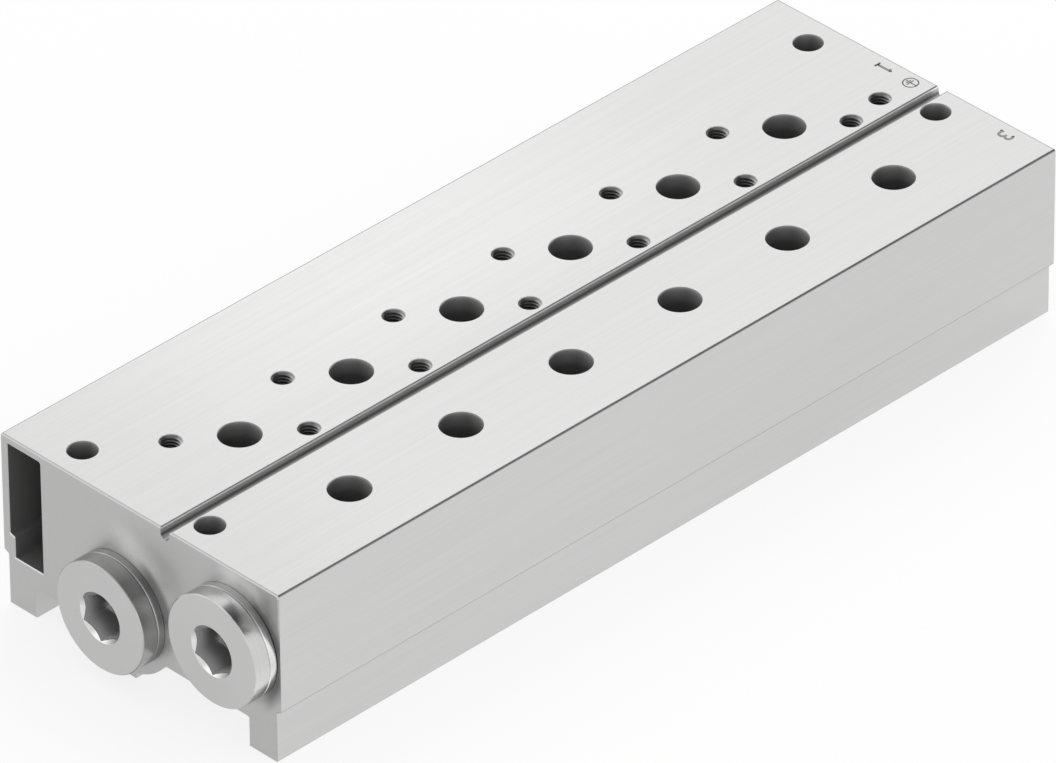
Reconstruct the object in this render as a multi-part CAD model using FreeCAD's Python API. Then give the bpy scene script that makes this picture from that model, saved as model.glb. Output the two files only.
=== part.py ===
import FreeCAD, Part
import math
import os

os.makedirs("parts", exist_ok=True)

# Valve manifold block: an extruded and machined aluminium bar with two
# lengthwise galleries, six valve seats on top and a blanking plug in the
# front end of each gallery. Millimetres, +Z up, length along Y.

# Extruded section
block_w = 82.6
block_l = 228.6
block_h = 42.3
top_edge_r = 0.6
end_chamfer = 0.25
side_inset = 1.35
ledge_outer_z = 13.1
ledge_rise = 0.7
corner_r = 0.3

# Channels under the block, between its two feet and the middle rib
foot_w = 8.0
channel_h = 7.6
channel_corner_r = 0.6
rib_w = 8.0

# Closed side chamber that runs the whole length
chamber_side_wall = 2.05
chamber_top_wall = 1.75
chamber_inner_x = 11.9
chamber_floor_z = 12.4
chamber_step = 1.45
chamber_step_z = 18.0
chamber_corner_r = 0.45
chamber_small_r = 0.2
chamber_mouth_break = 0.2

# Lengthwise groove in the top face
groove_x = 49.3
groove_w = 2.6
groove_depth = 2.5
groove_lip_r = 0.3

# Galleries with a G 1/2 thread at each end
gallery_d = 18.0
gallery_a_x = 35.6
gallery_a_z = 16.4
gallery_b_side = 13.6
gallery_b_z = 24.9
lobe_wall = 6.5
pipe_thread_d = 20.955
pipe_thread_l = 16.0
pipe_mouth_chamfer = 0.4
pipe_cone_l = 1.5

# Valve seats along the top
seat_count = 6
seat_pitch = 32.0
port_d = 9.5
port_3_offset = 3.5
port_3_shift_y = 2.45
screw_dx = 8.5
screw_dy = 11.6
screw_d = 5.0
screw_depth = 12.0
screw_mouth_chamfer = 0.1
drill_point_angle = 118.0

# Mounting holes and the earth screw hole
mount_d = 6.8
mount_spacing_x = 37.9
mount_from_end = 7.7
earth_x = 42.5
earth_from_end = 12.3

# Blanking plugs and their sealing rings
plug_collar_w = 2.52
plug_head_h = 4.2
plug_edge_chamfer = 0.25
plug_shank_l = 12.0
plug_shank_chamfer = 1.0
relief_w = 2.0
relief_depth = 0.9
thread_clearance = 0.05
socket_af = 10.0
socket_depth = 7.0
socket_mouth_d = 12.0
socket_cone_angle = 104.0
ring_t = 1.9
ring_clearance = 0.2
ring_edge_r = 0.25

# Values that follow from the sizes above
plug_stand = plug_head_h + ring_t
front_y = -(block_l - plug_stand) / 2
back_y = front_y + block_l
left_x = -block_w / 2
seat_first_y = front_y + (block_l - (seat_count - 1) * seat_pitch) / 2
gallery_b_x = block_w - gallery_b_side
port_3_x = gallery_b_x - port_3_offset
plug_head_d = pipe_thread_d + 2 * plug_collar_w
lobe_r = gallery_d / 2 + lobe_wall
thread_r = pipe_thread_d / 2
over = 1.0


def at_x(x):
    # Widthwise positions are counted from the left side face
    return left_x + x


def cylinder(radius, length, x, y, z, direction):
    return Part.makeCylinder(radius, length, FreeCAD.Vector(x, y, z), FreeCAD.Vector(*direction))


def cone(r_start, r_end, length, x, y, z, direction):
    return Part.makeCone(r_start, r_end, length, FreeCAD.Vector(x, y, z), FreeCAD.Vector(*direction))


def outline(corners, y):
    # A closed line across the block through (x, z, corner radius) points
    edges = []
    cuts = []
    count = len(corners)
    for i in range(count):
        x, z, radius = corners[i]
        here = FreeCAD.Vector(at_x(x), y, z)
        before = FreeCAD.Vector(at_x(corners[i - 1][0]), y, corners[i - 1][1])
        after = FreeCAD.Vector(at_x(corners[(i + 1) % count][0]), y, corners[(i + 1) % count][1])
        to_before = (before - here).normalize()
        to_after = (after - here).normalize()
        if radius > 0:
            half = to_before.getAngle(to_after) / 2
            back = radius / math.tan(half)
            bisector = (to_before + to_after).normalize()
            middle = here + bisector * (radius / math.sin(half) - radius)
            cuts.append((here + to_before * back, middle, here + to_after * back))
        else:
            cuts.append((here, None, here))
    for i in range(count):
        start, middle, end = cuts[i]
        if middle is not None:
            edges.append(Part.Arc(start, middle, end).toShape())
        edges.append(Part.LineSegment(end, cuts[(i + 1) % count][0]).toShape())
    return Part.Wire(edges)


def bar(corners, y_start, length):
    return Part.Face(outline(corners, y_start)).extrude(FreeCAD.Vector(0, length, 0))


def on_end_plane(edge):
    box = edge.BoundBox
    return box.YLength < 1e-6 and (abs(box.YMin - front_y) < 1e-6 or abs(box.YMin - back_y) < 1e-6)


def outer_bar():
    low_z = ledge_outer_z - ledge_rise
    right = block_w - side_inset
    solid = bar([
        (0, block_h, top_edge_r),
        (0, ledge_outer_z, corner_r),
        (side_inset, low_z, corner_r),
        (side_inset, 0, corner_r),
        (right, 0, corner_r),
        (right, low_z, corner_r),
        (block_w, ledge_outer_z, corner_r),
        (block_w, block_h, top_edge_r),
    ], front_y, block_l)
    return solid.makeChamfer(end_chamfer, [edge for edge in solid.Edges if on_end_plane(edge)])


def channel_cut():
    left = side_inset + foot_w
    right = block_w - side_inset - foot_w
    return bar([
        (left, -over, 0),
        (right, -over, 0),
        (right, channel_h, channel_corner_r),
        (left, channel_h, channel_corner_r),
    ], front_y, block_l)


def gallery_lobe():
    # Rounded wall below the lower gallery, on a rib that stands on the base plane
    lobe = cylinder(lobe_r, block_l, at_x(gallery_a_x), front_y, gallery_a_z, (0, 1, 0))
    rib = bar([
        (gallery_a_x - rib_w / 2, 0, corner_r),
        (gallery_a_x + rib_w / 2, 0, corner_r),
        (gallery_a_x + rib_w / 2, gallery_a_z, 0),
        (gallery_a_x - rib_w / 2, gallery_a_z, 0),
    ], front_y, block_l)
    return lobe.fuse(rib)


def chamber_corners(grow):
    # The chamber's outline, moved outward by the given distance
    top = block_h - chamber_top_wall + grow
    floor = chamber_floor_z - grow
    wall = chamber_side_wall - grow
    low_wall = wall + chamber_step
    slope = chamber_step / 3
    step_z = chamber_step_z - grow * math.tan(math.atan2(chamber_step, slope) / 2)
    small_r = chamber_small_r + grow
    step_r = chamber_small_r + chamber_mouth_break - grow
    return [
        (wall, top, small_r),
        (wall, step_z, small_r),
        (low_wall, step_z - slope, step_r),
        (low_wall, floor, small_r),
        (chamber_inner_x + grow, floor, small_r),
        (chamber_inner_x + grow, top, chamber_corner_r + grow),
    ]


def chamber_mouth(face_y, inward):
    # Breaks the chamber's edge at one end
    wide = outline(chamber_corners(chamber_mouth_break), face_y)
    own = outline(chamber_corners(0), face_y + inward * chamber_mouth_break)
    return Part.makeLoft([wide, own], True, True)


def chamber_cut():
    mouths = [chamber_mouth(front_y, 1), chamber_mouth(back_y, -1)]
    return bar(chamber_corners(0), front_y, block_l).fuse(mouths)


def groove_lips_cut():
    # Rounds both top edges of the groove
    reach = groove_w / 2 + groove_lip_r
    lip_z = block_h - groove_lip_r
    lips = bar([
        (groove_x - reach, lip_z, 0),
        (groove_x + reach, lip_z, 0),
        (groove_x + reach, block_h + over, 0),
        (groove_x - reach, block_h + over, 0),
    ], front_y, block_l)
    left = cylinder(groove_lip_r, block_l, at_x(groove_x - reach), front_y, lip_z, (0, 1, 0))
    right = cylinder(groove_lip_r, block_l, at_x(groove_x + reach), front_y, lip_z, (0, 1, 0))
    return lips.cut([left, right])


def groove_cut():
    # Straight walls and a round bottom
    radius = groove_w / 2
    centre_z = block_h - groove_depth + radius
    slot = bar([
        (groove_x - radius, centre_z, 0),
        (groove_x + radius, centre_z, 0),
        (groove_x + radius, block_h + over, 0),
        (groove_x - radius, block_h + over, 0),
    ], front_y, block_l)
    return slot.fuse(cylinder(radius, block_l, at_x(groove_x), front_y, centre_z, (0, 1, 0)))


def profile_bar():
    solid = outer_bar().cut(channel_cut()).fuse(gallery_lobe())
    return solid.cut([chamber_cut(), groove_cut(), groove_lips_cut()]).removeSplitter()


def pipe_port(x, z, face_y, inward):
    # Threaded end of a gallery: mouth chamfer, thread bore and a cone down to the gallery
    direction = (0, inward, 0)
    mouth_l = pipe_mouth_chamfer + over
    mouth = cone(thread_r + mouth_l, thread_r, mouth_l, x, face_y - inward * over, z, direction)
    mouth = mouth.fuse(cylinder(thread_r, pipe_thread_l, x, face_y, z, direction))
    end_y = face_y + inward * pipe_thread_l
    return mouth.fuse(cone(thread_r, gallery_d / 2, pipe_cone_l, x, end_y, z, direction))


def gallery_cut(x, z):
    cut = cylinder(gallery_d / 2, block_l + 2 * over, x, front_y - over, z, (0, 1, 0))
    cut = cut.fuse(pipe_port(x, z, front_y, 1))
    return cut.fuse(pipe_port(x, z, back_y, -1))


def screw_hole_cut(x, y):
    radius = screw_d / 2
    point = radius / math.tan(math.radians(drill_point_angle / 2))
    floor_z = block_h - screw_depth
    hole = cylinder(radius, screw_depth + over, x, y, floor_z, (0, 0, 1))
    hole = hole.fuse(cone(radius, 0, point, x, y, floor_z, (0, 0, -1)))
    wide = radius + screw_mouth_chamfer
    return hole.fuse(cone(radius, wide, screw_mouth_chamfer, x, y, block_h - screw_mouth_chamfer, (0, 0, 1)))


def seat_cuts():
    cuts = []
    port_r = port_d / 2
    port_x = at_x(gallery_a_x)
    for i in range(seat_count):
        y = seat_first_y + i * seat_pitch
        y_3 = y + port_3_shift_y
        cuts.append(cylinder(port_r, block_h - gallery_a_z + over, port_x, y, gallery_a_z, (0, 0, 1)))
        cuts.append(cylinder(port_r, block_h - gallery_b_z + over, at_x(port_3_x), y_3, gallery_b_z, (0, 0, 1)))
        cuts.append(screw_hole_cut(port_x - screw_dx, y - screw_dy))
        cuts.append(screw_hole_cut(port_x + screw_dx, y + screw_dy))
    return cuts


def mounting_cuts():
    cuts = []
    for side_x in (-1, 1):
        x = at_x(gallery_a_x) + side_x * mount_spacing_x / 2
        for y in (front_y + mount_from_end, back_y - mount_from_end):
            cuts.append(cylinder(mount_d / 2, block_h + 2 * over, x, y, -over, (0, 0, 1)))
    cuts.append(screw_hole_cut(at_x(earth_x), back_y - earth_from_end))
    return cuts


def manifold_block():
    cuts = seat_cuts() + mounting_cuts()
    cuts.append(gallery_cut(at_x(gallery_a_x), gallery_a_z))
    cuts.append(gallery_cut(at_x(gallery_b_x), gallery_b_z))
    return profile_bar().cut(cuts)


def socket_cut(x, face_y, z):
    # Hexagon socket with upright corners, a conical lead-in and a drilled floor
    corner_radius = socket_af / math.sqrt(3)
    points = []
    for i in range(7):
        angle = math.radians(90 + 60 * i)
        points.append(FreeCAD.Vector(x + corner_radius * math.cos(angle), face_y - over,
                                     z + corner_radius * math.sin(angle)))
    hexagon = Part.Face(Part.makePolygon(points)).extrude(FreeCAD.Vector(0, socket_depth + over, 0))
    mouth_r = socket_mouth_d / 2
    lead = mouth_r / math.tan(math.radians(socket_cone_angle / 2))
    hexagon = hexagon.fuse(cone(mouth_r, 0, lead, x, face_y, z, (0, 1, 0)))
    floor_r = socket_af / 2
    floor_l = floor_r / math.tan(math.radians(drill_point_angle / 2))
    return hexagon.fuse(cone(floor_r, 0, floor_l, x, face_y + socket_depth, z, (0, 1, 0)))


def blanking_plug(x, z):
    shank_r = thread_r - thread_clearance
    head_r = plug_head_d / 2
    face_y = front_y - plug_stand
    under_y = face_y + plug_head_h
    edge = plug_edge_chamfer
    end_y = front_y + plug_shank_l
    core_r = shank_r - relief_depth
    profile = [
        (0, face_y),
        (head_r - edge, face_y),
        (head_r, face_y + edge),
        (head_r, under_y - edge),
        (head_r - edge, under_y),
        (core_r, under_y),
        (core_r, front_y + relief_w),
        (shank_r, front_y + relief_w + relief_depth),
        (shank_r, end_y - plug_shank_chamfer),
        (shank_r - plug_shank_chamfer, end_y),
        (0, end_y),
        (0, face_y),
    ]
    wire = Part.makePolygon([FreeCAD.Vector(x + r, y, z) for r, y in profile])
    plug = Part.Face(wire).revolve(FreeCAD.Vector(x, 0, z), FreeCAD.Vector(0, 1, 0), 360)
    return plug.cut(socket_cut(x, face_y, z))


def sealing_ring(x, z):
    outer = cylinder(plug_head_d / 2, ring_t, x, front_y - ring_t, z, (0, 1, 0))
    ring = outer.cut(cylinder(thread_r + ring_clearance, ring_t, x, front_y - ring_t, z, (0, 1, 0)))
    middle_d = pipe_thread_d + plug_collar_w
    rims = [edge for edge in ring.Edges if edge.BoundBox.YLength < 1e-6 and edge.BoundBox.XLength > middle_d]
    return ring.makeFillet(ring_edge_r, rims)


parts = {"manifold_block": manifold_block()}
for letter, x, z in (("a", gallery_a_x, gallery_a_z), ("b", gallery_b_x, gallery_b_z)):
    parts["blanking_plug_" + letter] = blanking_plug(at_x(x), z)
    parts["sealing_ring_" + letter] = sealing_ring(at_x(x), z)

for name, shape in parts.items():
    shape.exportStep("parts/" + name + ".step")
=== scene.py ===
import math

import bpy
from mathutils import Matrix, Vector


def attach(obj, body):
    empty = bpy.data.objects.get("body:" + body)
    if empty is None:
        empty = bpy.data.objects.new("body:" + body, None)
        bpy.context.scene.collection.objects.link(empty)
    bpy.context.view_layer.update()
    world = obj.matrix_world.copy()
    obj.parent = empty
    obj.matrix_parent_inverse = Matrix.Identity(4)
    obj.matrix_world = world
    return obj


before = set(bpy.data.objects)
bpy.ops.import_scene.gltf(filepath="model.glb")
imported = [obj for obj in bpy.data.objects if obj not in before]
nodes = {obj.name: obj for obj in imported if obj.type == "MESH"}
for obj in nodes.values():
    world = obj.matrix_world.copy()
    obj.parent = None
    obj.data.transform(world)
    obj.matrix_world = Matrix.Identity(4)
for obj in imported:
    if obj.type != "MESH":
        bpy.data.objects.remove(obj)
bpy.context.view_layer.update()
scene = bpy.context.scene
print("frame loaded:", sorted(nodes))

# Places on the block that the scene's own pieces and finishes follow, in metres
block = {
    "topZ": 0.0423,
    "frontY": -0.11125,
    "backY": 0.11735,
    "halfWidth": 0.0413,
    "galleryA": (-0.0057, 0.0164),
    "galleryB": (0.0277, 0.0249),
    "firstSeatY": -0.07695,
    "seatPitch": 0.032,
    "seats": 6,
    "screwOffset": (0.0085, 0.0116),
    "earthHole": (0.0012, 0.10505),
    "groove": (0.0080, 0.0013),
    "grooveDepth": 0.0025,
    "grooveLip": 0.00040,
    "chamberX": -0.0292,
    "endBreak": 0.00025,
    "ledgeZ": 0.0131,
}

cameraSetup = {
    "place": (1.75883, -1.72362, 1.73324),
    "turn": (55.17694, 0.42270, 45.27465),
    "lens": 488.20,
    "farthest": 60,
}


def addCamera():
    data = bpy.data.cameras.new("photoCamera")
    data.lens = cameraSetup["lens"]
    data.sensor_width = 36
    data.clip_end = cameraSetup["farthest"]
    camera = bpy.data.objects.new("photoCamera", data)
    camera.location = cameraSetup["place"]
    camera.rotation_euler = [math.radians(angle) for angle in cameraSetup["turn"]]
    scene.collection.objects.link(camera)
    scene.camera = camera


addCamera()
scene.view_settings.view_transform = "Standard"

studio = {
    "worldLight": 0.80,
    "floorColour": (0.95, 0.95, 0.95, 1),
    "floorSpeck": (0.94, 0.94, 0.94, 1),
    "floorSpeckScale": 30,
    "floorRoughness": 0.9,
    "floorWhite": 0.82,
    "floorSize": 60,
    "flag": {"place": (0.46, 1.15, 1.57), "size": (2.0, 1.2), "shade": 0.04},
    "lamps": [
        # name, place, size, power; each aims at the block
        ("keyLamp", (-0.9, 1.4, 1.9), 1.5, 16),
        ("fillLamp", (2.2, 0.6, 1.3), 1.6, 9),
    ],
}


def addLamp(name, place, size, power):
    data = bpy.data.lights.new(name, "AREA")
    data.shape = "SQUARE"
    data.size = size
    data.energy = power
    lamp = bpy.data.objects.new(name, data)
    lamp.location = place
    lamp.rotation_euler = (-Vector(place)).to_track_quat("-Z", "Y").to_euler()
    lamp.visible_glossy = False
    scene.collection.objects.link(lamp)


for lampValues in studio["lamps"]:
    addLamp(*lampValues)


def seenShare(tree):
    # One for the camera, and for what metal and glass show of the studio
    rays = tree.nodes.new("ShaderNodeLightPath")
    share = rays.outputs["Is Camera Ray"]
    for kind in ("Is Glossy Ray", "Is Transmission Ray"):
        larger = tree.nodes.new("ShaderNodeMath")
        larger.operation = "MAXIMUM"
        tree.links.new(share, larger.inputs[0])
        tree.links.new(rays.outputs[kind], larger.inputs[1])
        share = larger.outputs[0]
    return share


def whiteBackground(tree, strength):
    node = tree.nodes.new("ShaderNodeBackground")
    node.inputs["Color"].default_value = (1, 1, 1, 1)
    node.inputs["Strength"].default_value = strength
    return node.outputs[0]


def setWorld():
    world = bpy.data.worlds.new("studioWorld")
    scene.world = world
    world.use_nodes = True
    tree = world.node_tree
    tree.nodes.clear()
    mix = tree.nodes.new("ShaderNodeMixShader")
    tree.links.new(seenShare(tree), mix.inputs["Fac"])
    tree.links.new(whiteBackground(tree, studio["worldLight"]), mix.inputs[1])
    tree.links.new(whiteBackground(tree, 1.0), mix.inputs[2])
    out = tree.nodes.new("ShaderNodeOutputWorld")
    tree.links.new(mix.outputs[0], out.inputs["Surface"])


setWorld()
print("camera, lamps and backdrop")

metalTint = (1, 1, 0.995)
speckReach = (0.3, 0.7)  # the part of a noise over which a speckle goes from dark to light


def grey(level):
    return tuple(level * share for share in metalTint) + (1,)


class Paint:
    # A material's node tree with short helpers for the nodes that repeat

    def __init__(self, name):
        self.material = bpy.data.materials.new(name)
        self.material.use_nodes = True
        self.tree = self.material.node_tree
        self.tree.nodes.clear()
        self.shader = self.tree.nodes.new("ShaderNodeBsdfPrincipled")
        self.surface = self.tree.nodes.new("ShaderNodeOutputMaterial").inputs["Surface"]
        self.link(self.shader.outputs[0], self.surface)
        texture = self.tree.nodes.new("ShaderNodeTexCoord")
        self.place = texture.outputs["Object"]
        self.x, self.y, self.z = self.split(self.place)
        self.facingX, self.facingY, self.facingZ = self.split(texture.outputs["Normal"])

    def link(self, source, target):
        if isinstance(source, bpy.types.NodeSocket):
            self.tree.links.new(source, target)
        else:
            target.default_value = source

    def set(self, inputName, source):
        self.link(source, self.shader.inputs[inputName])

    def split(self, vector):
        node = self.tree.nodes.new("ShaderNodeSeparateXYZ")
        self.link(vector, node.inputs[0])
        return node.outputs

    def math(self, kind, a, b=0.0, c=0.0):
        node = self.tree.nodes.new("ShaderNodeMath")
        node.operation = kind
        for value, socket in zip((a, b, c), node.inputs):
            self.link(value, socket)
        return node.outputs[0]

    def noise(self, scale, stretch=(1, 1, 1), detail=2.0):
        mapping = self.tree.nodes.new("ShaderNodeMapping")
        mapping.inputs["Scale"].default_value = stretch
        self.link(self.place, mapping.inputs["Vector"])
        node = self.tree.nodes.new("ShaderNodeTexNoise")
        node.inputs["Scale"].default_value = scale
        node.inputs["Detail"].default_value = detail
        self.link(mapping.outputs[0], node.inputs["Vector"])
        return node.outputs["Fac"]

    def ramp(self, value, low, high, toLow=0.0, toHigh=1.0):
        node = self.tree.nodes.new("ShaderNodeMapRange")
        node.interpolation_type = "SMOOTHSTEP"
        node.inputs["From Min"].default_value = low
        node.inputs["From Max"].default_value = high
        self.link(toLow, node.inputs["To Min"])
        self.link(toHigh, node.inputs["To Max"])
        self.link(value, node.inputs["Value"])
        return node.outputs[0]

    def fall(self, value, low, high):
        # One up to the low value, zero from the high one on
        return self.ramp(value, low, high, 1.0, 0.0)

    def steps(self, value, stops):
        # A grey that follows the value through pairs of place and level
        node = self.tree.nodes.new("ShaderNodeValToRGB")
        line = node.color_ramp.elements
        while len(line) < len(stops):
            line.new(0.5)
        for element, (place, level) in zip(line, stops):
            element.position = place
            element.color = grey(level)
        self.link(value, node.inputs["Fac"])
        return node.outputs["Color"]

    def both(self, *shares):
        result = shares[0]
        for share in shares[1:]:
            result = self.math("MULTIPLY", result, share)
        return result

    def either(self, *shares):
        result = shares[0]
        for share in shares[1:]:
            result = self.math("MAXIMUM", result, share)
        return result

    def rest(self, share):
        return self.math("SUBTRACT", 1.0, share)

    def size(self, value):
        return self.math("ABSOLUTE", value)

    def above(self, value, limit):
        return self.math("GREATER_THAN", value, limit)

    def below(self, value, limit):
        return self.math("LESS_THAN", value, limit)

    def shaded(self, colour, share):
        node = self.tree.nodes.new("ShaderNodeVectorMath")
        node.operation = "SCALE"
        plain = not isinstance(colour, bpy.types.NodeSocket)
        self.link(colour[:3] if plain else colour, node.inputs[0])
        self.link(share, node.inputs["Scale"])
        return node.outputs[0]

    def mixValue(self, share, first, second):
        node = self.tree.nodes.new("ShaderNodeMix")
        node.data_type = "FLOAT"
        self.link(share, node.inputs[0])
        self.link(first, node.inputs[2])
        self.link(second, node.inputs[3])
        return node.outputs[0]

    def where(self, share, value):
        # The value where the share is one, and no change elsewhere
        return self.mixValue(share, 1.0, value)

    def mixColour(self, share, first, second):
        node = self.tree.nodes.new("ShaderNodeMix")
        node.data_type = "RGBA"
        self.link(share, node.inputs[0])
        self.link(first, node.inputs[6])
        self.link(second, node.inputs[7])
        return node.outputs[2]

    def speckle(self, noise, strength):
        return self.ramp(noise, *speckReach, 1 - strength, 1.0)

    def bump(self, height, distance):
        node = self.tree.nodes.new("ShaderNodeBump")
        node.inputs["Distance"].default_value = distance
        self.link(height, node.inputs["Height"])
        self.set("Normal", node.outputs[0])


def aside(paint, centre):
    return paint.math("SUBTRACT", paint.x, centre[0])


def downward(paint, centre):
    return paint.math("SUBTRACT", centre[1], paint.z)


def fromAxis(paint, centre):
    dx = aside(paint, centre)
    dz = downward(paint, centre)
    return paint.math("SQRT", paint.math("ADD", paint.both(dx, dx), paint.both(dz, dz)))


def roundAxis(paint, centre):
    # Share of a turn from the top of a plug or ring, over its left side
    turn = paint.math("ARCTAN2", aside(paint, centre), downward(paint, centre))
    return paint.math("MULTIPLY_ADD", turn, 0.5 / math.pi, 0.5)


# How each kind of face of the block is told from the others, in metres or by its normal
faceLimits = {
    "topUp": 0.998,
    "topDepth": 0.0002,
    "sideInset": 0.0017,
    "sideFacing": 0.3,
    "underZ": 0.0077,
    "endInset": 0.0003,
    "endFacing": 0.3,
    "grooveDepth": 0.0027,
    "grooveFacing": 0.5,
}


def blockFaces(paint):
    # Each share is one on its own kind of face and zero elsewhere
    limits = faceLimits
    grooveX, grooveRadius = block["groove"]
    faces = {
        "fromMiddle": paint.size(paint.x),
        "outside": paint.both(paint.facingX, paint.math("SIGN", paint.x)),
        "deep": paint.math("SUBTRACT", block["topZ"], paint.z),
    }
    faces["top"] = paint.both(paint.above(paint.z, block["topZ"] - limits["topDepth"]),
                              paint.above(paint.facingZ, limits["topUp"]))
    faces["side"] = paint.both(paint.above(faces["fromMiddle"], block["halfWidth"] - limits["sideInset"]),
                               paint.above(faces["outside"], limits["sideFacing"]))
    faces["under"] = paint.below(paint.z, limits["underZ"])
    faces["front"] = paint.both(paint.below(paint.y, block["frontY"] + limits["endInset"]),
                                paint.below(paint.facingY, -limits["endFacing"]))
    back = paint.both(paint.above(paint.y, block["backY"] - limits["endInset"]),
                      paint.above(paint.facingY, limits["endFacing"]))
    faces["end"] = paint.either(faces["front"], back)
    fromGroove = paint.size(paint.math("SUBTRACT", paint.x, grooveX))
    faces["groove"] = paint.both(paint.below(faces["deep"], limits["grooveDepth"]),
                                 paint.below(fromGroove, grooveRadius + block["grooveLip"]),
                                 paint.below(paint.size(paint.facingY), limits["grooveFacing"]))
    faces["chamber"] = paint.below(paint.x, block["chamberX"])
    return faces


# Painted light and shade in the holes: the walls darken with depth, one side of each wall is painted
# lighter, and the broken rim has a painted highlight
holeShadeAndLight = {
    "depth": 0.0042,
    # painted shade by share of the depth, level
    "levels": [(0.0, 0.84), (0.05, 0.80), (0.11, 0.53), (0.18, 0.43), (0.30, 0.35), (0.50, 0.30),
               (0.80, 0.25), (1.0, 0.18)],
    # painted light and shade across the wall from its left side to its right side, as the camera sees it:
    # facing, share
    "left": (-1.3, 0.0, 0.50, 0.95),
    "right": (0.3, 1.35, 1.0, 1.65),
    # the broken rim is wider on the left: facing, depth
    "rim": (0.7, 1.35, 0.00012, 0.0006),
}


def holePaintedShade(paint, deep):
    values = holeShadeAndLight
    fromFront = paint.math("SUBTRACT", paint.y, block["frontY"])
    fromBack = paint.math("SUBTRACT", block["backY"], paint.y)
    inward = paint.math("MINIMUM", deep, paint.math("MINIMUM", fromFront, fromBack))
    colour = paint.steps(paint.math("DIVIDE", inward, values["depth"]), values["levels"])
    leftward = paint.math("ADD", paint.facingX, paint.facingY)
    rightward = paint.math("MULTIPLY", leftward, -1.0)
    colour = paint.shaded(colour, paint.ramp(rightward, *values["left"]))
    colour = paint.shaded(colour, paint.ramp(rightward, *values["right"]))
    # the broken rim gets a painted highlight as bright as the top
    rim = paint.below(inward, paint.ramp(leftward, *values["rim"]))
    return paint.mixColour(rim, colour, grey(blockFinishAndLight["top"]))


grooveShadeAndLight = {
    # painted light and shade by share of the groove's depth, level: the dark and bright lines stand for its
    # rounded lips
    "levels": [(0.0, 0.22), (0.032, 0.22), (0.052, 1.0), (0.17, 1.0), (0.21, 0.57),
               (0.45, 0.56), (0.62, 0.21), (0.76, 0.22), (0.90, 0.76), (1.0, 0.85)],
    # the far lip's grey is painted shade
    "farLip": 0.42,
    "farLipDepth": 0.0004,
}


def groovePaintedLight(paint, deep):
    values = grooveShadeAndLight
    colour = paint.steps(paint.math("DIVIDE", deep, block["grooveDepth"]), values["levels"])
    farLip = paint.both(paint.above(paint.x, block["groove"][0]), paint.below(deep, values["farLipDepth"]))
    return paint.mixColour(farLip, colour, grey(values["farLip"]))


# Light and shade that the low plug throws on the front, with a reach from its axis
lowPlugShade = {
    "halo": (1.25, 1.58),
    "haloRise": (0.0275, 0.0318),
    "haloReach": (0.0150, 0.0225),
    "haloSide": (-0.0105, -0.0015),
    "haloHeight": (0.010, 0.022),
    "dull": 0.70,
    "contact": 0.42,
    "contactReach": (0.0145, 0.0168),
    "contactSide": (-0.0015, 0.0035),
    "contactHeight": (0.0150, 0.0195),
}


def lowPlugLight(paint, front):
    # Gives the share of the front that the halo covers, and the light there
    values = lowPlugShade
    reach = fromAxis(paint, block["galleryA"])
    halo = paint.both(front, paint.ramp(paint.x, *values["haloSide"]),
                      paint.ramp(paint.z, *values["haloHeight"]), paint.fall(reach, *values["haloReach"]))
    light = paint.where(halo, paint.ramp(paint.z, *values["haloRise"], *values["halo"]))
    contact = paint.ramp(reach, *values["contactReach"], values["contact"], 1.0)
    beside = paint.both(front, paint.ramp(paint.x, *values["contactSide"]),
                        paint.ramp(paint.z, *values["contactHeight"]))
    return halo, paint.both(light, paint.where(beside, contact))


# The same for the high plug, with dark shade beside it and light above it
highPlugShade = {
    "shade": (0.44, 0.70),
    "shadeRise": (0.0318, 0.0352),
    "shadeReach": (0.0139, 0.0172),
    "shadeSide": (0.0350, 0.0392),
    "contact": (0.80, 0.60),
    "contactRise": (0.0262, 0.0315),
    "contactReach": (0.0137, 0.0151),
    "contactSide": (0.0325, 0.0352),
    "over": 1.60,
    "overHeight": (0.0335, 0.0372),
    "overLeft": (0.0220, 0.0280),
    "overRight": (0.0345, 0.0385),
    "overReach": (0.0155, 0.0195),
}


def highPlugLight(paint, front):
    values = highPlugShade
    reach = fromAxis(paint, block["galleryB"])
    darkest = paint.ramp(paint.z, *values["shadeRise"], *values["shade"])
    shade = paint.ramp(reach, *values["shadeReach"], darkest, 1.0)
    shade = paint.where(paint.both(front, paint.ramp(paint.x, *values["shadeSide"])), shade)
    darkest = paint.ramp(paint.z, *values["contactRise"], *values["contact"])
    contact = paint.ramp(reach, *values["contactReach"], darkest, 1.0)
    contact = paint.where(paint.both(front, paint.ramp(paint.x, *values["contactSide"])), contact)
    over = paint.both(front, paint.ramp(paint.z, *values["overHeight"]),
                      paint.ramp(paint.x, *values["overLeft"]), paint.fall(paint.x, *values["overRight"]),
                      paint.fall(reach, *values["overReach"]))
    return paint.both(shade, contact, paint.where(over, values["over"]))


# The studio's soft glow on the top: where it rises and falls along Y, and how far it goes across X
topGlow = {
    "strength": 1.08,
    "rise": (-0.095, -0.018),
    "fall": (0.004, 0.085),
    "across": (-0.022, 0.012),
    "nearEnd": 0.945,
    "nearEndReach": (-0.112, -0.062),
}


def topLight(paint):
    values = topGlow
    share = paint.both(paint.ramp(paint.y, *values["rise"]), paint.fall(paint.y, *values["fall"]),
                       paint.fall(paint.x, *values["across"]))
    nearEnd = paint.ramp(paint.y, *values["nearEndReach"], values["nearEnd"], 1.0)
    return paint.both(paint.where(share, values["strength"]), nearEnd)


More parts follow.
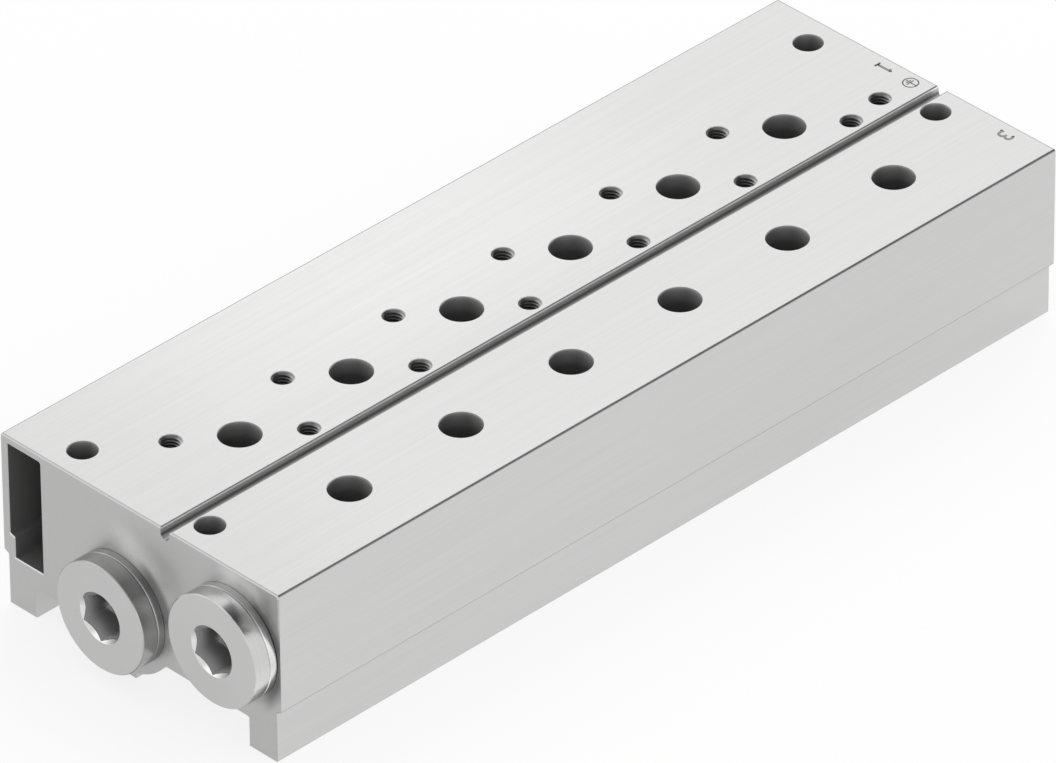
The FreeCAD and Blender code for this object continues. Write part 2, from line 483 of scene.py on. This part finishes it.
# The greys on the block's broken edges are painted light and shade: a painted reflection along the rounded
# top edge and painted highlights on the front and chamber breaks
edgeShadeAndLight = {
    # painted reflection by how far the rounded top edge faces up, level
    "roundLevels": [(0.0, 0.66), (0.36, 0.64), (0.58, 0.30), (0.985, 0.27), (0.998, 0.84)],
    "roundUp": 0.999,
    "roundOutside": 0.05,
    "roundDepth": 0.0007,
    "roundInset": 0.0022,
    "front": 0.66,
    "frontDepth": 0.0004,
    "frontFacing": 0.3,
    "chamber": 0.80,
    "chamberHeight": (0.0085, 0.025),
    "chamberUp": 0.2,
    "frontLine": 0.57,
    "backLine": 0.68,
    "ledgeLine": 0.76,
    "lineWidth": 0.00028,
}


def paintedEdgeLight(paint, colour, faces):
    values = edgeShadeAndLight
    inset = block["halfWidth"] - values["roundInset"]
    rounded = paint.both(paint.below(paint.facingZ, values["roundUp"]),
                         paint.above(faces["outside"], values["roundOutside"]),
                         paint.below(faces["deep"], values["roundDepth"]),
                         paint.above(faces["fromMiddle"], inset))
    colour = paint.mixColour(rounded, colour, paint.steps(paint.facingZ, values["roundLevels"]))
    facingFront = paint.below(paint.facingY, -values["frontFacing"])
    frontBreak = paint.both(paint.below(faces["deep"], values["frontDepth"]), facingFront,
                            paint.above(paint.facingZ, values["frontFacing"]))
    colour = paint.mixColour(frontBreak, colour, grey(values["front"]))
    lowest, highest = values["chamberHeight"]
    chamberBreak = paint.both(faces["chamber"], paint.below(paint.z, highest), paint.above(paint.z, lowest),
                              facingFront, paint.above(paint.facingZ, values["chamberUp"]))
    return paint.mixColour(chamberBreak, colour, grey(values["chamber"]))


def paintedEdgeShadeLines(paint, colour, faces):
    # Thin lines of painted shade along both ends of the top and along the ledges
    values = edgeShadeAndLight
    reach = block["endBreak"] + values["lineWidth"]
    frontLine = paint.both(faces["top"], paint.below(paint.y, block["frontY"] + reach))
    colour = paint.mixColour(frontLine, colour, grey(values["frontLine"] * blockFinishAndLight["top"]))
    backLine = paint.both(faces["top"], paint.above(paint.y, block["backY"] - reach))
    colour = paint.mixColour(backLine, colour, grey(values["backLine"] * blockFinishAndLight["top"]))
    fromLedge = paint.size(paint.math("SUBTRACT", paint.z, block["ledgeZ"]))
    inset = block["halfWidth"] - faceLimits["sideInset"]
    ledge = paint.both(paint.below(fromLedge, values["lineWidth"]), paint.above(faces["fromMiddle"], inset),
                       paint.rest(faces["end"]))
    return paint.mixColour(ledge, colour, grey(values["ledgeLine"] * blockFinishAndLight["side"]))


# Each face's grey is partly its machining and partly painted light and shade: the top lightest, the sides,
# underside and ends darker, and the chamber dark with painted shade
blockFinishAndLight = {
    "top": 0.845,
    "side": 0.66,
    "end": 0.51,
    "under": 0.60,
    "chamber": 0.22,
    "insideMetallic": 0.45,
    "roughness": (0.37, 0.48),
    "roughReach": (0.25, 0.75),
    # brush marks lie along the block, with a few wider bands over them: stretch, share
    "fineMarks": ((1500, 22, 1500), 0.6),
    "wideMarks": ((260, 9, 260), 0.4),
    "fineDetail": 3,
    "marks": 0.06,
    "bump": 0.000012,
}


def blockMaterial():
    paint = Paint("machinedAluminium")
    values = blockFinishAndLight
    faces = blockFaces(paint)
    halo, lowLight = lowPlugLight(paint, faces["front"])
    endLight = paint.both(lowLight, highPlugLight(paint, faces["front"]))
    # The colour below gathers the painted light and shade of the holes, faces, front, top, groove and edges
    colour = holePaintedShade(paint, faces["deep"])
    colour = paint.mixColour(faces["chamber"], colour, grey(values["chamber"]))
    colour = paint.mixColour(faces["under"], colour, grey(values["under"]))
    colour = paint.mixColour(faces["side"], colour, grey(values["side"]))
    colour = paint.mixColour(faces["end"], colour, paint.shaded(grey(values["end"]), endLight))
    colour = paint.mixColour(faces["top"], colour, paint.shaded(grey(values["top"]), topLight(paint)))
    colour = paint.mixColour(faces["groove"], colour, groovePaintedLight(paint, faces["deep"]))
    colour = paintedEdgeLight(paint, colour, faces)
    colour = paintedEdgeShadeLines(paint, colour, faces)

    fineStretch, fineShare = values["fineMarks"]
    wideStretch, wideShare = values["wideMarks"]
    fine = paint.noise(1, fineStretch, values["fineDetail"])
    wide = paint.noise(1, wideStretch)
    streak = paint.math("ADD", paint.both(fine, fineShare), paint.both(wide, wideShare))
    paint.set("Base Color", paint.shaded(colour, paint.speckle(streak, values["marks"])))
    bare = paint.either(faces["top"], faces["side"], faces["end"], faces["groove"], faces["under"])
    metallic = paint.mixValue(bare, values["insideMetallic"], 1.0)
    paint.set("Metallic", paint.mixValue(paint.both(halo, lowPlugShade["dull"]), metallic, 0.0))
    paint.set("Roughness", paint.ramp(streak, *values["roughReach"], *values["roughness"]))
    paint.bump(fine, values["bump"])
    return paint.material


plugFinishAndLight = {
    "face": 0.555,
    # radius over which the face ends and the rim begins
    "rimFrom": (0.01272, 0.01292),
    "socketRadius": 0.00603,
    # painted light and shade round the cone from its top, over its left side: share of a turn, level
    "cone": [(0.0, 0.22), (0.14, 0.26), (0.18, 0.50), (0.25, 0.78), (0.36, 0.70), (0.41, 0.68),
             (0.45, 0.98), (0.52, 0.98), (0.58, 0.50), (0.64, 0.26), (0.74, 0.18), (1.0, 0.18)],
    "coneFacing": (-0.97, -0.5),
    "coneBright": (0.15, 0.66),
    # the cone ends in a thin hexagon of painted shade: distance to its flats, level
    "coneEnd": (0.00509, 0.13),
    "socket": 0.62,
    # the socket's walls' painted light: how much, how dull, and where it fades
    "mouth": 1.20,
    "mouthDull": 0.55,
    "mouthFall": (0.0, 0.0030),
    "mouthLeft": (-0.0010, 0.0030),
    "mouthDepth": (-0.1164, -0.1120),
    # painted reflections round the rim: share of a turn, level
    "rimReflectionA": [(0.0, 0.52), (0.04, 0.56), (0.085, 0.28), (0.5, 0.30), (0.62, 0.15), (0.71, 0.36),
             (0.77, 0.46), (0.835, 0.56), (0.875, 0.22), (0.92, 0.22), (1.0, 0.50)],
    "rimReflectionB": [(0.0, 0.60), (0.04, 0.70), (0.085, 0.42), (0.13, 0.78), (0.5, 0.70), (0.625, 0.41),
             (0.67, 0.46), (0.71, 0.74), (0.79, 0.62), (0.87, 0.64), (0.917, 0.38), (0.96, 0.72),
             (1.0, 0.60)],
    "roughFace": 0.36,
    "roughCone": 0.22,
    "roughDull": 0.7,
    "roughRim": 0.24,
    "specular": 0.5,
    "specularDull": 0.05,
    "lathe": 0.05,
    "latheStretch": (40, 2600, 40),
    "bump": 0.000004,
}


def hexagonReach(paint, centre):
    # Distance to the flats of the hexagon that passes through a point, with its corners upright
    dx = aside(paint, centre)
    across = paint.math("MULTIPLY", dx, math.cos(math.pi / 3))
    tilt = math.sin(math.pi / 3)
    slants = [paint.math("MULTIPLY_ADD", downward(paint, centre), sign * tilt, across) for sign in (1, -1)]
    return paint.either(paint.size(slants[0]), paint.size(slants[1]), paint.size(dx))


def plugMaterial(name, centre, rimReflections):
    # The rim and the cone are polished, the flat face and the socket are plain
    paint = Paint(name)
    values = plugFinishAndLight
    radius = fromAxis(paint, centre)
    around = roundAxis(paint, centre)
    rim = paint.ramp(radius, *values["rimFrom"])
    socket = paint.below(radius, values["socketRadius"])
    mostFront, leastFront = values["coneFacing"]
    cone = paint.both(socket, paint.below(paint.facingY, leastFront), paint.above(paint.facingY, mostFront))
    # painted light makes the socket's walls lighter near its mouth, but not on their upper right
    lit = paint.either(paint.ramp(downward(paint, centre), *values["mouthFall"]),
                       paint.fall(aside(paint, centre), *values["mouthLeft"]))
    mouth = paint.both(socket, lit, paint.fall(paint.y, *values["mouthDepth"]))
    # painted shade makes the cone dark on its upper and right sides, and where it meets the hexagon
    brightFrom, brightTo = values["coneBright"]
    bright = paint.both(paint.above(around, brightFrom), paint.below(around, brightTo))
    endReach, endLevel = values["coneEnd"]
    inner = paint.both(cone, bright, paint.below(hexagonReach(paint, centre), endReach))
    dull = paint.either(paint.both(cone, paint.rest(bright)), inner)

    # the rim's greys round it are painted reflections
    colour = paint.mixColour(rim, grey(values["face"]), paint.steps(around, rimReflections))
    socketGrey = paint.shaded(grey(values["socket"]), paint.where(mouth, values["mouth"]))
    colour = paint.mixColour(socket, colour, socketGrey)
    colour = paint.mixColour(cone, colour, paint.steps(around, values["cone"]))
    colour = paint.mixColour(inner, colour, grey(endLevel))
    turned = paint.noise(1, values["latheStretch"])
    paint.set("Base Color", paint.shaded(colour, paint.speckle(turned, values["lathe"])))
    rough = paint.mixValue(rim, values["roughFace"], values["roughRim"])
    rough = paint.mixValue(cone, rough, values["roughCone"])
    paint.set("Roughness", paint.mixValue(dull, rough, values["roughDull"]))
    notMetal = paint.either(dull, paint.both(mouth, paint.rest(cone), values["mouthDull"]))
    paint.set("Metallic", paint.rest(notMetal))
    paint.set("Specular IOR Level", paint.mixValue(dull, values["specular"], values["specularDull"]))
    paint.bump(turned, values["bump"])
    return paint.material


ringFinishAndLight = {
    # painted reflections round the ring: share of a turn, level
    "paintedReflectionA": [(0.0, 0.46), (0.04, 0.56), (0.085, 0.36), (0.5, 0.30), (0.58, 0.14), (0.67, 0.20),
                (0.75, 0.42), (0.81, 0.58), (0.875, 0.35), (0.93, 0.29), (1.0, 0.46)],
    "paintedReflectionB": [(0.0, 0.46), (0.04, 0.66), (0.085, 0.52), (0.13, 0.72), (0.5, 0.60), (0.60, 0.40),
                (0.67, 0.62), (0.71, 0.96), (0.76, 0.76), (0.835, 0.96), (0.875, 0.42), (0.917, 0.26),
                (1.0, 0.46)],
    "roughness": (0.23, 0.29),
    "roughReach": (0.2, 0.8),
    "lathe": 0.08,
    "latheStretch": (25, 3200, 25),
    "latheDetail": 3,
    "bump": 0.000003,
}


def ringMaterial(name, centre, levels):
    # Turned marks run round the ring, and painted reflections change its grey slowly round it
    paint = Paint(name)
    values = ringFinishAndLight
    turned = paint.noise(1, values["latheStretch"], values["latheDetail"])
    colour = paint.steps(roundAxis(paint, centre), levels)
    paint.set("Base Color", paint.shaded(colour, paint.speckle(turned, values["lathe"])))
    paint.set("Metallic", 1.0)
    paint.set("Roughness", paint.ramp(turned, *values["roughReach"], *values["roughness"]))
    paint.bump(turned, values["bump"])
    return paint.material


threadFinishAndLight = {
    "metallic": 0.75,
    "roughness": 0.30,
    "worn": 0.08,
    "wornScale": 1100,
    "wornDetail": 3,
    "wallSide": (0.1, 1.0),
    "bump": 0.000004,
    "screw": {
        "depth": 0.0042,
        # painted shade by share of the depth, level
        "levels": [(0.0, 0.24), (0.20, 0.27), (0.40, 0.32), (0.60, 0.22), (1.0, 0.08)],
        # a painted glint: how the grey grows from the middle of the hole's wall to its side
        "glint": (0.50, 2.4),
    },
    "port": {
        "depth": 0.016,
        # painted shade, darker deeper in the port
        "levels": [(0.0, 0.62), (1.0, 0.20)],
        "glint": (1.0, 1.0),
    },
}


def threadMaterial(name, kind, along, mouth):
    # The ridge's grey is painted shade that follows how deep it lies in its hole, with a painted glint
    # towards the wall's side
    paint = Paint(name)
    values = threadFinishAndLight
    cut = values[kind]
    inward = paint.math("SUBTRACT", mouth, paint.z if along == "z" else paint.y)
    colour = paint.steps(paint.math("DIVIDE", inward, cut["depth"]), cut["levels"])
    worn = paint.noise(values["wornScale"], (1, 1, 1), values["wornDetail"])
    rightward = paint.math("MULTIPLY", paint.math("ADD", paint.facingX, paint.facingY), -1.0)
    glint = paint.ramp(rightward, *values["wallSide"], *cut["glint"])
    paint.set("Base Color", paint.shaded(colour, paint.both(paint.speckle(worn, values["worn"]), glint)))
    paint.set("Metallic", values["metallic"])
    paint.set("Roughness", values["roughness"])
    paint.bump(worn, values["bump"])
    return paint.material


engraving = {
    "roughness": (0.46, 0.55),
    "roughReach": (0.2, 0.8),
    "darkShare": 0.9,
    "speckScale": 1600,
    "speckDetail": 3,
    "bump": 0.000008,
}


def engravedMetal(name, level):
    paint = Paint(name)
    values = engraving
    speck = paint.noise(values["speckScale"], (1, 1, 1), values["speckDetail"])
    colour = paint.mixColour(paint.ramp(speck, *speckReach), grey(level * values["darkShare"]), grey(level))
    paint.set("Base Color", colour)
    paint.set("Metallic", 1.0)
    paint.set("Roughness", paint.ramp(speck, *values["roughReach"], *values["roughness"]))
    paint.bump(speck, values["bump"])
    return paint.material


def dress(obj, material):
    obj.data.materials.clear()
    obj.data.materials.append(material)


dress(nodes["manifold_block"], blockMaterial())
dress(nodes["blanking_plug_a"], plugMaterial("platedPlugA", block["galleryA"], plugFinishAndLight["rimReflectionA"]))
dress(nodes["blanking_plug_b"], plugMaterial("platedPlugB", block["galleryB"], plugFinishAndLight["rimReflectionB"]))
dress(nodes["sealing_ring_a"], ringMaterial("turnedRingA", block["galleryA"], ringFinishAndLight["paintedReflectionA"]))
dress(nodes["sealing_ring_b"], ringMaterial("turnedRingB", block["galleryB"], ringFinishAndLight["paintedReflectionB"]))
print("finishes on the frame's pieces")


def deselectAll():
    if bpy.context.object and bpy.context.object.mode != "OBJECT":
        bpy.ops.object.mode_set(mode="OBJECT")
    bpy.ops.object.select_all(action="DESELECT")


def onBlock(obj, name):
    obj.name = name
    obj.data.name = name
    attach(obj, "root")


def settle(obj, name, material):
    # The finished piece keeps its place in its mesh, with its object at the origin
    deselectAll()
    obj.select_set(True)
    bpy.context.view_layer.objects.active = obj
    bpy.ops.object.transform_apply(location=True, rotation=True, scale=True)
    dress(obj, material)
    onBlock(obj, name)


def copyPiece(obj, name, move):
    twin = obj.copy()
    twin.data = obj.data.copy()
    twin.data.transform(Matrix.Translation(move))
    scene.collection.objects.link(twin)
    onBlock(twin, name)


tooth = {
    # width at the root as a share of the pitch, and at the crest as a share of the root's
    "root": 0.86,
    "crest": 0.22,
    # share of a turn over which a thread runs out at its ends
    "runOut": 0.4,
    "smoothAngle": 25,
    "merge": 0.0000001,
}


def toothSection(thread):
    # The tooth's outline, upright at the thread's radius with its crest towards the axis
    deselectAll()
    middle = (thread["major"] + thread["minor"]) / 2
    bpy.ops.mesh.primitive_plane_add(size=1, location=(0, 0, 0))
    section = bpy.context.object
    bpy.ops.object.mode_set(mode="EDIT")
    bpy.ops.transform.rotate(value=math.radians(90), orient_axis="X", center_override=(0, 0, 0))
    bpy.ops.transform.resize(value=(thread["major"] - thread["minor"], 1, thread["pitch"] * tooth["root"]))
    bpy.ops.mesh.select_mode(type="VERT")
    bpy.ops.mesh.select_all(action="DESELECT")
    bpy.ops.object.mode_set(mode="OBJECT")
    for vertex in section.data.vertices:
        vertex.select = vertex.co.x < 0
    bpy.ops.object.mode_set(mode="EDIT")
    bpy.ops.transform.resize(value=(1, 1, tooth["crest"]))
    bpy.ops.mesh.select_all(action="SELECT")
    bpy.ops.transform.translate(value=(middle, 0, 0))
    bpy.ops.object.mode_set(mode="OBJECT")
    return section


def runOut(ridge, thread):
    # The tooth grows out of the bore at one end of the helix and sinks into it at the other
    sections = thread["turns"] * thread["steps"]
    taper = thread["steps"] * tooth["runOut"]
    corners = 4
    for vertex in ridge.data.vertices:
        section = vertex.index // corners
        share = min(1.0, (min(section, sections - section) + 1) / taper)
        radius = math.hypot(vertex.co.x, vertex.co.y)
        wanted = thread["major"] + (radius - thread["major"]) * share
        vertex.co.x *= wanted / radius
        vertex.co.y *= wanted / radius


def threadRidge(name, thread, material):
    # The tooth is swept along the helix round Z
    ridge = toothSection(thread)
    sweep = ridge.modifiers.new("helix", "SCREW")
    sweep.angle = math.radians(360)
    sweep.screw_offset = thread["pitch"]
    sweep.iterations = thread["turns"]
    sweep.steps = thread["steps"]
    sweep.render_steps = thread["steps"]
    sweep.use_smooth_shade = False
    bpy.ops.object.modifier_apply(modifier="helix")
    runOut(ridge, thread)
    bpy.ops.object.mode_set(mode="EDIT")
    bpy.ops.mesh.select_all(action="SELECT")
    bpy.ops.mesh.remove_doubles(threshold=tooth["merge"])
    bpy.ops.mesh.fill_holes(sides=4)
    bpy.ops.mesh.normals_make_consistent(inside=False)
    bpy.ops.object.mode_set(mode="OBJECT")
    bpy.ops.object.shade_smooth_by_angle(angle=math.radians(tooth["smoothAngle"]))
    dress(ridge, material)
    ridge.name = name
    return ridge


screwThread = {
    "major": 0.002495,
    "minor": 0.00208,
    "pitch": 0.0008,
    "turns": 13,
    "steps": 28,
    # how far the thread's outer end lies below the top
    "inset": 0.0003,
}


def screwPlaces():
    # Each valve seat has a screw hole on either side, and one more takes the earth screw
    dx, dy = block["screwOffset"]
    middle = block["galleryA"][0]
    places = []
    for seat in range(block["seats"]):
        y = block["firstSeatY"] + seat * block["seatPitch"]
        places.append(("seatScrewThread%dA" % (seat + 1), middle - dx, y - dy))
        places.append(("seatScrewThread%dB" % (seat + 1), middle + dx, y + dy))
    places.append(("earthScrewThread",) + block["earthHole"])
    return places


def cutScrewThreads():
    metal = threadMaterial("cutScrewThread", "screw", "z", block["topZ"])
    ridge = threadRidge("screwThread", screwThread, metal)
    foot = block["topZ"] - screwThread["inset"] - screwThread["pitch"] * screwThread["turns"]
    places = screwPlaces()
    for name, x, y in places:
        copyPiece(ridge, name, (x, y, foot))
    bpy.data.objects.remove(ridge)
    print("threads in the screw holes:", len(places))


cutScrewThreads()

portThread = {
    "major": 0.01047,
    "minor": 0.00932,
    "pitch": 0.001814,
    "turns": 7,
    "steps": 72,
    # how deep the thread's inner end lies in its port
    "footDepth": 0.0150,
}


def cutPortThreads():
    metal = threadMaterial("cutPortThread", "port", "y", block["backY"])
    ridge = threadRidge("portThread", portThread, metal)
    ridge.data.transform(Matrix.Rotation(math.radians(-90), 4, "X"))
    footY = block["backY"] - portThread["footDepth"]
    for name, (x, z) in (("portThreadA", block["galleryA"]), ("portThreadB", block["galleryB"])):
        copyPiece(ridge, name, (x, footY, z))
    bpy.data.objects.remove(ridge)
    print("threads in the open ports")


cutPortThreads()

marks = {
    "depth": 0.00004,
    "soft": 0.00001,
    "lift": 0.00001,
    # the dark grey of the strokes is painted shade along their engraved walls, and the lighter grey of
    # their floors is painted light
    "dark": 0.13,
    "light": 0.50,
    "one": {
        "foot": (-0.00824, 0.11407),
        "length": 0.0040,
        "stroke": 0.00058,
        "serif": 0.0018,
        "serifStroke": 0.8,
        "flag": 0.0011,
        "flagStroke": 0.7,
        "flagBack": 0.36,
        "flagAside": 0.30,
        "flagTurn": -38,
        # the painted light floor of each stroke, as shares of its length and of the stem's width
        "stemFloor": (0.70, 0.42),
        "flagFloor": (0.70, 0.30),
    },
    "three": {
        "middle": (0.02978, 0.11343),
        "height": 0.0040,
        "fontShare": 1.37,
        "turn": -90,
        "end": 0.00032,
        "endReach": 0.42,
        "endSide": 0.24,
        "grow": 0.00003,
        "shrink": -0.00010,
    },
    "earth": {
        "middle": (0.00169, 0.11396),
        "radius": 0.00186,
        "line": 0.00028,
        # length and place along the stem, as shares of the radius
        "stem": (0.95, 0.42),
        "bars": [(1.15, 0.05), (0.75, 0.32), (0.36, 0.59)],
        "sides": 48,
    },
}
markMetal = engravedMetal("engravedLine", marks["dark"])
markLight = engravedMetal("engravedFloor", marks["light"])


def raised(obj):
    # The outline on the top face is given its small depth and softened edges
    bpy.ops.object.mode_set(mode="EDIT")
    bpy.ops.mesh.select_all(action="SELECT")
    bpy.ops.mesh.extrude_region_move(TRANSFORM_OT_translate={"value": (0, 0, marks["depth"])})
    bpy.ops.mesh.select_all(action="SELECT")
    bpy.ops.mesh.normals_make_consistent(inside=False)
    bpy.ops.object.mode_set(mode="OBJECT")
    bevel = obj.modifiers.new("soft", "BEVEL")
    bevel.width = marks["soft"]
    bevel.segments = 1
    bevel.limit_method = "ANGLE"
    bpy.ops.object.modifier_apply(modifier="soft")
    return obj


def flatBar(length, width, x, y, turn=0, lift=0.0):
    deselectAll()
    bpy.ops.mesh.primitive_plane_add(size=1, location=(x, y, block["topZ"] - marks["depth"] / 2 + lift))
    bar = bpy.context.object
    bar.scale = (length, width, 1)
    bar.rotation_euler = (0, 0, math.radians(turn))
    bpy.ops.object.transform_apply(location=True, rotation=True, scale=True)
    return raised(bar)


def flatDisc(radius, x, y, hole=0.0):
    deselectAll()
    place = (x, y, block["topZ"] - marks["depth"] / 2)
    fill = "NOTHING" if hole else "NGON"
    bpy.ops.mesh.primitive_circle_add(vertices=marks["earth"]["sides"], radius=radius, fill_type=fill,
                                      location=place)
    disc = bpy.context.object
    bpy.ops.object.transform_apply(location=True, rotation=True, scale=True)
    if hole:
        bpy.ops.object.mode_set(mode="EDIT")
        bpy.ops.mesh.select_all(action="SELECT")
        bpy.ops.mesh.extrude_edges_move()
        bpy.ops.transform.resize(value=(hole / radius, hole / radius, 1), center_override=place)
        bpy.ops.object.mode_set(mode="OBJECT")
    return raised(disc)


def joined(pieces, name, material):
    deselectAll()
    for piece in pieces:
        piece.select_set(True)
    bpy.context.view_layer.objects.active = pieces[0]
    bpy.ops.object.join()
    settle(bpy.context.object, name, material)


def markOne():
    # The number's foot is towards the chamber and its top towards the other side
    values = marks["one"]
    length, stroke, flag = values["length"], values["stroke"], values["flag"]
    x, y = values["foot"]
    top = x + length
    flagX = top - flag * values["flagBack"]
    flagY = y + flag * values["flagAside"]
    turn = values["flagTurn"]
    stem = flatBar(length, stroke, (x + top) / 2, y)
    foot = flatBar(stroke * values["serifStroke"], values["serif"], x, y)
    tip = flatBar(flag, stroke * values["flagStroke"], flagX, flagY, turn)
    joined([stem, foot, tip], "markOne", markMetal)
    along, across = values["stemFloor"]
    stemFloor = flatBar(length * along, stroke * across, (x + top) / 2, y, 0, marks["lift"])
    along, across = values["flagFloor"]
    tipFloor = flatBar(flag * along, stroke * across, flagX, flagY, turn, marks["lift"])
    joined([stemFloor, tipFloor], "markOneFloor", markLight)


def figureThree(grow, lift):
    # The figure lies on the top face with its foot towards the chamber
    values = marks["three"]
    x, y = values["middle"]
    deselectAll()
    bpy.ops.object.text_add(location=(0, 0, 0))
    label = bpy.context.object
    label.data.body = "3"
    label.data.size = values["height"] * values["fontShare"]
    label.data.align_x = "CENTER"
    label.data.align_y = "CENTER"
    label.data.offset = grow
    label.data.extrude = marks["depth"] / 2
    bpy.ops.object.convert(target="MESH")
    label = bpy.context.object
    label.data.transform(Matrix.Rotation(math.radians(values["turn"]), 4, "Z"))
    label.data.transform(Matrix.Translation((x, y, block["topZ"] + lift)))
    return label


def markThree():
    values = marks["three"]
    x, y = values["middle"]
    label = figureThree(values["grow"], 0.0)
    reach = values["height"] * values["endReach"]
    side = values["height"] * values["endSide"]
    ends = [flatDisc(values["end"], x + reach, y + side), flatDisc(values["end"], x - reach, y + side)]
    joined([label] + ends, "markThree", markMetal)
    settle(figureThree(values["shrink"], marks["lift"]), "markThreeFloor", markLight)


def markEarth():
    # A ring round a stem with three bars, the general sign for protective earth
    values = marks["earth"]
    x, y = values["middle"]
    radius = values["radius"]
    line = values["line"]
    pieces = [flatDisc(radius, x, y, radius - line)]
    length, place = values["stem"]
    pieces.append(flatBar(radius * length, line, x + radius * place, y))
    for length, place in values["bars"]:
        pieces.append(flatBar(line, radius * length, x - radius * place, y))
    joined(pieces, "markEarth", markMetal)


markOne()
markThree()
markEarth()
print("marks on the top")


def darkFlag():
    # A dark card above and behind, seen only in the polished edges and rims
    deselectAll()
    values = studio["flag"]
    bpy.ops.mesh.primitive_plane_add(size=1, location=values["place"])
    flag = bpy.context.object
    flag.scale = values["size"] + (1,)
    flag.rotation_euler = (-Vector(values["place"])).to_track_quat("Z", "Y").to_euler()
    flag.name = "studioFlag"
    paint = Paint("flagCloth")
    paint.set("Base Color", (values["shade"],) * 3 + (1,))
    paint.set("Roughness", 1.0)
    dress(flag, paint.material)
    flag.visible_camera = False
    flag.visible_diffuse = False
    flag.visible_shadow = False


darkFlag()


def addFloor():
    deselectAll()
    bpy.ops.mesh.primitive_plane_add(size=studio["floorSize"], location=(0, 0, 0))
    floor = bpy.context.object
    floor.name = "studioFloor"
    paint = Paint("paleFloor")
    speck = paint.noise(studio["floorSpeckScale"])
    paint.set("Base Color", paint.mixColour(speck, studio["floorColour"], studio["floorSpeck"]))
    paint.set("Roughness", studio["floorRoughness"])
    paint.set("Specular IOR Level", 0.0)
    glow = paint.tree.nodes.new("ShaderNodeEmission")
    glow.inputs["Strength"].default_value = 1.0
    mix = paint.tree.nodes.new("ShaderNodeMixShader")
    paint.link(paint.both(seenShare(paint.tree), studio["floorWhite"]), mix.inputs["Fac"])
    paint.link(paint.shader.outputs[0], mix.inputs[1])
    paint.link(glow.outputs[0], mix.inputs[2])
    paint.link(mix.outputs[0], paint.surface)
    dress(floor, paint.material)


addFloor()
print("flag and floor")
